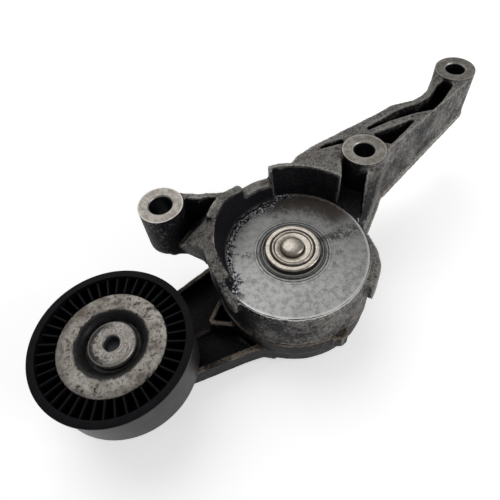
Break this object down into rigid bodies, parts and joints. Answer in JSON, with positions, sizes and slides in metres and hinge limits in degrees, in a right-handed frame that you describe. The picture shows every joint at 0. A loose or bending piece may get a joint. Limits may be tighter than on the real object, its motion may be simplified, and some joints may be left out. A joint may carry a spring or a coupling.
{
  "type": "belt tensioner idler",
  "caption": "Sprung belt tensioner: cast bracket with three bolt bosses, spring cup, swinging arm and ribbed idler pulley on a ball bearing.",
  "frame": {"origin": "on the pivot axis, in the plane of the three bosses' rear faces, which bolt against the engine", "axes": "+Z along the pivot axis towards the front; +X towards the long end of the bracket; the pulley hangs towards -X and -Y"},
  "size_m": [0.1982, 0.1722, 0.0579],
  "materials": {
    "cast_aluminium": "die cast, grimy, worn bright on edges",
    "plated_steel": "turned and yellow plated",
    "bearing_steel": "ground",
    "spring_steel": "dark, oiled",
    "zinc_steel": "zinc plated, stained",
    "black_nylon": "moulded, glass filled",
    "wear_plastic": "moulded",
    "seal_rubber": "matt"
  },
  "bodies": {
    "bracket": {"bracket_casting": "cast_aluminium", "pivot_pin": "plated_steel", "pivot_flange": "plated_steel", "spring_sleeve": "wear_plastic", "torsion_spring": "spring_steel", "front_thrust_washer": "wear_plastic", "rear_thrust_washer": "bearing_steel"},
    "arm": {"arm_casting": "cast_aluminium", "pivot_bush": "wear_plastic", "damper_ring": "wear_plastic", "pulley_bolt": "zinc_steel", "front_dust_shield": "zinc_steel", "rear_dust_shield": "zinc_steel", "bearing_inner_ring": "bearing_steel"},
    "pulley": {"pulley_body": "black_nylon", "bearing_outer_ring": "bearing_steel", "bearing_seal_front": "seal_rubber", "bearing_seal_rear": "seal_rubber"},
    "cage": {"ball_cage": "spring_steel", "ball_1": "bearing_steel", "ball_2": "bearing_steel", "ball_3": "bearing_steel", "ball_4": "bearing_steel", "ball_5": "bearing_steel", "ball_6": "bearing_steel", "ball_7": "bearing_steel", "ball_8": "bearing_steel"}
  },
  "joints": [
    {"name": "arm_pivot", "type": "hinge", "parent": "bracket", "child": "arm", "pos_m": [0, 0, 0], "axis": [0, 0, 1], "range_deg": [0, 25], "stiffness_Nm_per_rad": 4, "springref_deg": -17.19},
    {"name": "pulley_spin", "type": "hinge", "parent": "arm", "child": "pulley", "pos_m": [-0.07185, -0.0374, -0.0065], "axis": [0, 0, 1], "continuous": true},
    {"name": "cage_spin", "type": "hinge", "parent": "arm", "child": "cage", "pos_m": [-0.07185, -0.0374, -0.0065], "axis": [0, 0, 1], "continuous": true}
  ],
  "couplings": [
    {"joint": "cage_spin", "follows": "pulley_spin", "ratio": 0.6184}
  ]
}
